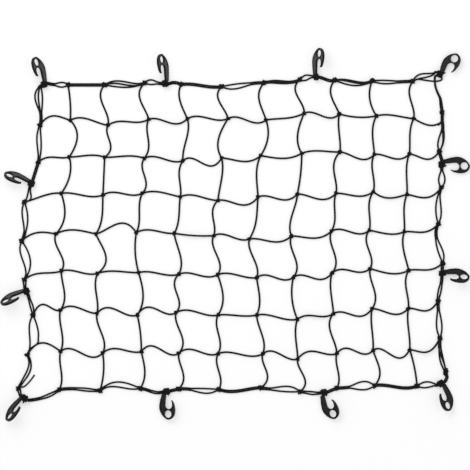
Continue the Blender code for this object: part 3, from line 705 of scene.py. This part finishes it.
def addWraps(skin, middle, heading, turns, outwardTurn, chance):
    # A mesh cord's end, wound round the two border cords
    slant = chance.uniform(-net["wrapSlant"], net["wrapSlant"])
    begin = chance.uniform(-net["wrapBegin"], net["wrapBegin"])
    path = []
    for number in range(round(turns * net["wrapSteps"]) + 1):
        turned = number / net["wrapSteps"]
        angle = 2 * math.pi * turned + begin - math.pi / 2
        across = net["wrapHalfWidth"] * math.cos(angle)
        along = net["wrapPitch"] * (turned - turns / 2) + across * slant
        high = net["wrapCentre"] + net["wrapHalfHeight"] * math.sin(angle)
        point = step(step(middle, heading, along), heading + math.pi / 2, across)
        path.append((*point, high))
    addTube(skin, path, net["wrapRadius"])
    outwards = heading + outwardTurn + chance.uniform(-net["endFan"], net["endFan"])
    inside, high = net["endInside"]
    root = (*step(middle, outwards, inside), high)
    reach = net["wrapHalfWidth"] + net["endLength"]
    tip = (*step(middle, outwards, reach), chance.uniform(*net["endHigh"]))
    between = tuple((first + last) / 2 for first, last in zip(root, tip))
    addTube(skin, [root, between, tip], net["wrapRadius"], sealed=(False, True))


def stopMiddle(stop):
    if stop.kind == "lashing":
        return hooks[stop.number - 1].lash
    if stop.kind in borderDrift:
        return borderKnot(stop.kind, stop.number)
    return stop.number


def borderAnchor(stop, towards):
    # Where the border cords leave a stop, and the points that lead them out of a lashing
    middle = stopMiddle(stop)
    if stop.kind != "lashing":
        return middle, []
    hook = hooks[stop.number - 1]
    lie = math.radians(hook.lie)
    if abs(turnBetween(lie, headingTo(middle, towards))) > math.pi / 2:
        lie += math.pi
    leads = [step(middle, lie, net["leadStart"]), step(middle, lie, hook.width / 4)]
    return step(middle, lie, hook.width / 2 + net["pairGap"]), leads


def cordHeights(offsets, part, length):
    # A third cord that lies closer than its thickness climbs over the other two
    heights = [net["borderRadius"] + knotClimb(part, length)] * len(offsets)
    if len(offsets) > 2:
        gap = min(abs(offsets[2] - offsets[0]), abs(offsets[2] - offsets[1]))
        heights[2] += math.sqrt(max(0.0, net["pairSpacing"] ** 2 - gap ** 2)) * net["thirdClimb"]
    return heights


def addLeads(plans, leads, outward):
    # The cords side by side inside a lashing, the third one on top
    half = net["pairSpacing"] / 2
    for lead in leads:
        for plan, side in zip(plans, (half, -half, 0.0)):
            high = net["leadHigh"] if side else net["thirdLeadHigh"]
            plan.append((*step(lead, outward, side), high))


def bentPlans(points, outwardTurn):
    half = net["pairSpacing"] / 2
    route = smoothRoute(points, 3)
    plans = [[], []]
    for number, point in enumerate(route):
        way = headingTo(route[max(number - 1, 0)], route[min(number + 1, len(route) - 1)])
        for plan, side in zip(plans, (half, -half)):
            plan.append((*step(point, way + outwardTurn, side), net["borderRadius"] + net["bendRise"]))
    return plans


def addBorderStretch(skin, stop, following, bends, outwardTurn):
    # The border cords from one stop to the next
    first, last = stopMiddle(stop), stopMiddle(following)
    start, leadIn = borderAnchor(stop, bends[0] if bends else last)
    end, leadOut = borderAnchor(following, bends[-1] if bends else first)
    leadOut.reverse()
    if bends:
        plans = bentPlans([*leadIn, start, *bends, end, *leadOut], outwardTurn)
    else:
        words = [word for word in (stop.outer, stop.inner, stop.between) if word]
        plans = [[] for word in words]
        outward = headingTo(start, end) + outwardTurn
        length = math.dist(start, end)
        count = max(4, round(length / net["pairStations"]))
        addLeads(plans, leadIn, outward)
        for number in range(count + 1):
            part = number / count
            offsets = [stray(word, part, net["borderLieStep"]) for word in words]
            middle = (offsets[0] + offsets[1]) / 2
            apart = max(offsets[0] - offsets[1], net["pairSpacing"]) / 2
            offsets[0], offsets[1] = middle + apart, middle - apart
            point = (start[0] + (end[0] - start[0]) * part, start[1] + (end[1] - start[1]) * part)
            for plan, offset, high in zip(plans, offsets, cordHeights(offsets, part, length)):
                plan.append((*step(point, outward, offset), high))
        addLeads(plans, leadOut, outward)
    if (stop.kind, stop.number) in net["detours"]:
        leaveAt, detour = net["detours"][stop.kind, stop.number]
        kept = len(leadIn) + round(count * leaveAt)
        plans[1] = plans[1][:kept] + list(detour)
    for plan in plans:
        addTube(skin, smoothRoute(plan, 2), net["borderRadius"])


def addBorderRun(skin, run, outwardTurn, chance):
    stops = [stop for stop in run if stop.kind != "bend"]
    for stop, following in zip(stops, stops[1:]):
        if not stop.outer:
            continue            # these cords have a route of their own
        bends = [bend.number for bend in run[run.index(stop) + 1:run.index(following)]]
        addBorderStretch(skin, stop, following, bends, outwardTurn)
    for before, stop, after in zip(stops, stops[1:], stops[2:]):
        if stop.kind == "lashing":
            continue
        heading = headingTo(stopMiddle(before), stopMiddle(after))
        turns = net["plainTurns"] if stop.kind == "plain" else chance.choice(net["wrapTurns"])
        right, up = net["moved"].get((stop.kind, stop.number), (0.0, 0.0))
        middle = stopMiddle(stop)
        addWraps(skin, (middle[0] + right, middle[1] + up), heading, turns, outwardTurn, chance)


def makeNet():
    chance = random.Random(net["seed"])
    rise = net["unevenRise"]
    skin = newSkin()
    for row in range(1, net["rows"] + 1):
        for strand in range(net["columns"] + 1):
            arch = archedStrands.get((row, strand), chance.uniform(0.0, rise))
            addMeshStrand(skin, lambda part: acrossPoint(row, strand, part), arch)
    for column in range(1, net["columns"] + 1):
        for strand in range(net["rows"] + 1):
            addMeshStrand(skin, lambda part: downPoint(column, strand, part), chance.uniform(0.0, rise))
    for row in range(1, net["rows"] + 1):
        for column in range(1, net["columns"] + 1):
            addMeshKnot(skin, meshKnot(row, column), chance)
    addBorderRun(skin, topRun, math.pi / 2, chance)
    addBorderRun(skin, rightRun, math.pi / 2, chance)
    addBorderRun(skin, bottomRun, -math.pi / 2, chance)
    addBorderRun(skin, leftRun, -math.pi / 2, chance)
    for route in net["cornerCords"]:
        addTube(skin, smoothRoute(route, 4), net["borderRadius"])
    piece = finishSkin(skin, "cargoNet", [netCord, sealedEnd])
    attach(piece, "root")
    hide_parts("net_mesh", "border_top", "border_right", "border_bottom", "border_left")
    area = sum(face.area for face in piece.data.polygons)
    print("net made, half its surface is", round(area / 2, 3), "square metres")


makeNet()


# Hooks: flat moulded plates with a raised rim, rolled onto their backs
hookPlate = {
    "thickness": 6.8,
    "solidThickness": 8.0,
    "back": 27.7,                 # from the pull hole's line to the furthest back
    "rootAcross": 11.0,
    "shankInner": 6.4,
    "shankOuter": 20.0,
    "intoLashing": 7.0,
    "shortestNeck": 16.5,
    "pullHole": (67.7, 0.0, 11.1),
    "throat": (41.0, -1.9, 11.5),
    "throatTurn": (-100, 80),     # degrees
    "throatSteps": 9,
    "holeSteps": 40,
    "outlineSteps": 3,
    "rootChamfer": 1.5,
    "neckSwell": 0.6,
    "rim": 1.9,
    "recess": 1.2,
    "edgeRadius": 0.75,
    "smoothBelow": 32,            # degrees between faces
    "roundAbove": 40,
    "paintedLitHooks": (1, 2, 3, 11, 12),       # hooks rolled towards the light, whose webs get the painted highlight
    "backAndNose": (
        (26.0, 24.6), (37.0, 26.6), (45.0, 27.7), (54.0, 26.8), (62.0, 23.9), (71.0, 18.7),
        (77.5, 12.4), (82.6, 5.5), (84.8, -0.4), (83.0, -8.0), (79.0, -14.0), (71.0, -19.6),
    ),
    "point": (
        (62.0, -21.6), (52.0, -21.9), (38.0, -19.2), (31.2, -16.0), (26.4, -12.0),
        (28.6, -10.8), (33.0, -13.0),
    ),
    "shankInside": ((32.0, 8.8), (24.0, 8.0)),
}


def hookLift(hook):
    roll = math.radians(hook.roll)
    back = hookPlate["back"] - hookPlate["rootAcross"]
    return back * math.sin(roll) + hookPlate["solidThickness"] / 2 * math.cos(roll)


def shankStart(hook):
    heading = math.radians(hook.heading)
    furthest = 0.0
    for along in (-1, 1):
        for across in (-1, 1):
            corner = step(hook.lash, math.radians(hook.lie), along * hook.width / 2)
            corner = step(corner, math.radians(hook.lie) + math.pi / 2, across * lashing["depth"] / 2)
            reach = (corner[0] - hook.root[0]) * math.cos(heading)
            furthest = max(furthest, reach + (corner[1] - hook.root[1]) * math.sin(heading))
    return furthest


def arcPoints(along, across, radius, start, end, steps):
    return [
        (along + radius * math.cos(math.radians(start + (end - start) * number / steps)),
         across + radius * math.sin(math.radians(start + (end - start) * number / steps)))
        for number in range(steps + 1)
    ]


def closedRoute(points, steps):
    # A smooth closed curve through the points
    route = smoothRoute([points[-1], *points, points[0], points[1]], steps)
    return route[steps:-steps - 1]


def insetLoop(loop, distance):
    # The loop moved to its left by a distance
    moved = []
    for number, point in enumerate(loop):
        way = headingTo(loop[number - 1], loop[(number + 1) % len(loop)])
        moved.append(step(point, way + math.pi / 2, distance))
    return moved


def hookOutline(hook):
    # Root, back, nose, point, throat and shank, in the hook's own plane
    begin = shankStart(hook)
    root = begin - hookPlate["intoLashing"]
    inner, outer = hookPlate["shankInner"], hookPlate["shankOuter"]
    chamfer, swell = hookPlate["rootChamfer"], hookPlate["neckSwell"]
    hasNeck = begin < hookPlate["shortestNeck"]
    outline = [(root, inner + chamfer), (root, outer - chamfer)]
    if hasNeck:
        outline.append((begin, outer + swell))
    outline += [*hookPlate["backAndNose"], *hookPlate["point"]]
    outline += arcPoints(*hookPlate["throat"], *hookPlate["throatTurn"], hookPlate["throatSteps"])
    outline += hookPlate["shankInside"]
    if hasNeck:
        outline.append((begin, inner + swell))
    return closedRoute(outline, hookPlate["outlineSteps"])


def makeHook(hook):
    solid = bmesh.new()
    outer = hookOutline(hook)
    inner = insetLoop(outer, -hookPlate["rim"])       # the outline runs clockwise
    holeX, holeY, holeRadius = hookPlate["pullHole"]
    steps = hookPlate["holeSteps"]
    hole = arcPoints(holeX, holeY, holeRadius, 0, 360, steps)[:-1]
    holeRim = arcPoints(holeX, holeY, holeRadius + hookPlate["rim"], 0, 360, steps)[:-1]
    half = hookPlate["thickness"] / 2

    def ring(loop, high):
        made = []
        for along, across in loop:
            y = (hookPlate["rootAcross"] - across) * hook.tip
            made.append(solid.verts.new((along * mm, y * mm, high * mm)))
        return made

    def band(first, second):
        for number in range(len(first)):
            after = (number + 1) % len(first)
            solid.faces.new((first[number], first[after], second[after], second[number]))

    outerRings, holeRings = [], []
    for side in (1, -1):
        face = half * side
        sunk = (half - hookPlate["recess"]) * side
        outerRing, innerRing, sunkRing = ring(outer, face), ring(inner, face), ring(inner, sunk)
        holeRing, holeRimRing, holeSunk = ring(hole, face), ring(holeRim, face), ring(holeRim, sunk)
        band(outerRing, innerRing)
        band(innerRing, sunkRing)
        band(holeSunk, holeRimRing)
        band(holeRimRing, holeRing)
        edges = []
        for loop in (sunkRing, holeSunk):
            edges += [solid.edges.get((a, b)) for a, b in zip(loop, loop[1:] + loop[:1])]
        filled = bmesh.ops.triangle_fill(solid, use_beauty=True, edges=edges, normal=(0, 0, side))
        for item in filled["geom"]:
            if isinstance(item, bmesh.types.BMFace):
                item.material_index = 1
        outerRings.append(outerRing)
        holeRings.append(holeRing)
    band(*outerRings)
    band(*holeRings)
    bmesh.ops.recalc_face_normals(solid, faces=solid.faces)
    name = f"hookPlate{hook.number:02d}"
    mesh = bpy.data.meshes.new(name)
    solid.to_mesh(mesh)
    solid.free()
    mesh.materials.append(hookRim)
    mesh.materials.append(paintedLitWeb if hook.number in hookPlate["paintedLitHooks"] else webWithPaintedSheen)
    mesh.shade_smooth()
    mesh.set_sharp_from_angle(angle=math.radians(hookPlate["smoothBelow"]))
    piece = bpy.data.objects.new(name, mesh)
    bpy.context.collection.objects.link(piece)
    piece.location = place((*hook.root, hookLift(hook)))
    piece.rotation_euler = (math.radians(hook.roll) * hook.tip, 0.0, math.radians(hook.heading))
    rounding = piece.modifiers.new("roundedEdges", "BEVEL")
    rounding.width = hookPlate["edgeRadius"] * mm
    rounding.segments = 2
    rounding.limit_method = "ANGLE"
    rounding.angle_limit = math.radians(hookPlate["roundAbove"])
    rounding.harden_normals = True
    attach(piece, "root")
    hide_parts(f"hook_{hook.number:02d}")


# Lashings: cord wound round a hook's root and the border
lashing = {
    "depth": 24.0,                # the solid's, across the border
    "overHook": 6.5,              # above the middle of the hook's plate
    "turnsDepth": 21.5,
    "cordRadius": 2.4,
    "turnPitch": 4.3,
    "turnSteps": 18,
    "sides": 10,
    "squareness": 0.8,            # 1 is oval, less is nearer to a box
    "wander": 0.9,
    "seed": 40,
    "barrel": 0.45,               # how much the outer turns draw in
    "crossings": (0.55, -0.45),   # two turns that slant over the rest
    "crossingSteps": 21,
    "crossingRadius": 2.304,
    "crossingOut": 0.5,
    "crossingUp": 1.1,
    "coreInside": 0.8,
    "coreSides": 16,
    "coreSink": 0.05,
    "endInside": 0.65,            # where a cut end starts, between the middle and its tip
    "endHigh": (0.55, 0.42),      # of the lashing's height, at its start and tip
    "ends": {                     # where a cut end shows
        4: (628.0, 483.0), 5: (631.0, 205.0), 6: (631.0, -122.0), 8: (273.0, -484.5),
        9: (-201.0, -482.5), 10: (-636.0, -505.5), 12: (-605.5, 143.5),
    },
}


def makeLashing(hook):
    chance = random.Random(lashing["seed"] + hook.number)
    skin = newSkin()
    lie = math.radians(hook.lie)
    radius = lashing["cordRadius"]
    sides = lashing["sides"]
    height = hookLift(hook) + lashing["overHook"]
    middleHigh = height / 2
    halfHigh = middleHigh - radius
    halfDepth = lashing["turnsDepth"] / 2 - radius
    reach = hook.width / 2 - radius

    def spot(along, across, high):
        point = step(hook.lash, lie, along)
        return (*step(point, lie + math.pi / 2, across), high)

    def squared(value):
        return math.copysign(abs(value) ** lashing["squareness"], value)

    def bulge(along):
        return math.sqrt(1 - lashing["barrel"] * (along / (hook.width / 2)) ** 2)

    turns = round((hook.width - 2 * radius) / lashing["turnPitch"]) + 1
    wander = [chance.uniform(-lashing["wander"], lashing["wander"]) for number in range(turns + 2)]
    path = []
    for number in range(turns * lashing["turnSteps"] + 1):
        turned = number / lashing["turnSteps"]
        angle = 2 * math.pi * turned - math.pi / 2
        whole = int(turned)
        drift = wander[whole] + (wander[whole + 1] - wander[whole]) * (turned - whole)
        along = -reach + 2 * reach * turned / turns + drift
        across = halfDepth * bulge(along) * squared(math.cos(angle))
        path.append(spot(along, across, middleHigh + halfHigh * squared(math.sin(angle))))
    addTube(skin, path, radius, sides=sides)
    for slant in lashing["crossings"]:
        crossing = []
        steps = lashing["crossingSteps"]
        for number in range(steps + 2):
            angle = 2 * math.pi * number / steps - math.pi / 2
            across = (halfDepth + lashing["crossingOut"]) * squared(math.cos(angle))
            over = halfHigh + lashing["crossingUp"] * max(0.0, math.sin(angle))
            high = middleHigh + over * squared(math.sin(angle))
            crossing.append(spot(across / halfDepth * reach * slant, across, high))
        addTube(skin, crossing, lashing["crossingRadius"], sides=sides)
    # A core fills the turns: a round tube widened to their depth
    core = [spot(along, 0.0, middleHigh) for along in (-reach, -reach / 2, 0.0, reach / 2, reach)]
    first = len(skin["points"])
    addTube(skin, core, halfHigh, sides=lashing["coreSides"])
    wide = (halfDepth - lashing["coreInside"]) / halfHigh
    outwards = Vector((-math.sin(lie), math.cos(lie), 0.0))
    for number in range(first, len(skin["points"])):
        point = skin["points"][number]
        ring = (number - first) // lashing["coreSides"]
        offset = point - place(core[ring])
        stretch = wide * bulge(reach * (ring - 2) / 2)
        sunk = Vector((0.0, 0.0, offset.z * lashing["coreSink"]))
        skin["points"][number] = point + outwards * offset.dot(outwards) * (stretch - 1) - sunk
    if hook.number in lashing["ends"]:
        tip = lashing["ends"][hook.number]
        share = lashing["endInside"]
        inside = tuple(a * (1 - share) + b * share for a, b in zip(hook.lash, tip))
        startHigh, tipHigh = lashing["endHigh"]
        cut = [(*inside, height * startHigh), (*tip, height * tipHigh)]
        cut.insert(1, tuple((a + b) / 2 for a, b in zip(*cut)))
        addTube(skin, cut, radius, sides=sides, sealed=(False, True))
    piece = finishSkin(skin, f"hookLashing{hook.number:02d}", [tightCord, sealedEnd])
    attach(piece, "root")
    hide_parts(f"lashing_{hook.number:02d}")


for hook in hooks:
    makeHook(hook)
    makeLashing(hook)
print("hooks and lashings made")


# Floor and light
studio = {
    "floorSize": 12.0,
    "floorTone": 0.9,
    "floorGlow": 0.44,
    "worldTone": 1.0,
    "worldStrength": 0.42,
    "key": {"energy": 45.0, "size": 3.0, "from": (-1.6, 2.2, 3.4)},
    "fill": {"energy": 16.0, "size": 3.5, "from": (2.4, -1.8, 3.0)},
}


def makeFloor():
    half = studio["floorSize"] / 2
    mesh = bpy.data.meshes.new("studioFloor")
    corners = [(-half, -half, 0), (half, -half, 0), (half, half, 0), (-half, half, 0)]
    mesh.from_pydata(corners, [], [(0, 1, 2, 3)])
    floor = bpy.data.objects.new("studioFloor", mesh)
    bpy.context.collection.objects.link(floor)
    made, _, surface = newMaterial("studioPaper")
    tone = studio["floorTone"]
    surface.inputs["Base Color"].default_value = (tone, tone, tone, 1.0)
    surface.inputs["Roughness"].default_value = 0.9
    surface.inputs["Specular IOR Level"].default_value = 0.1
    surface.inputs["Emission Color"].default_value = (1.0, 1.0, 1.0, 1.0)
    surface.inputs["Emission Strength"].default_value = studio["floorGlow"]
    mesh.materials.append(made)


def makeLights():
    for name in ("key", "fill"):
        given = studio[name]
        data = bpy.data.lights.new(name, "AREA")
        data.energy = given["energy"]
        data.size = given["size"]
        lamp = bpy.data.objects.new(name, data)
        lamp.location = given["from"]
        lamp.rotation_euler = (-Vector(given["from"])).to_track_quat("-Z", "Y").to_euler()
        bpy.context.collection.objects.link(lamp)
    world = bpy.data.worlds.new("studioWorld")
    bpy.context.scene.world = world
    world.use_nodes = True
    sky = world.node_tree.nodes["Background"]
    tone = studio["worldTone"]
    sky.inputs["Color"].default_value = (tone, tone, tone, 1.0)
    sky.inputs["Strength"].default_value = studio["worldStrength"]


makeFloor()
makeLights()
print("studio made")
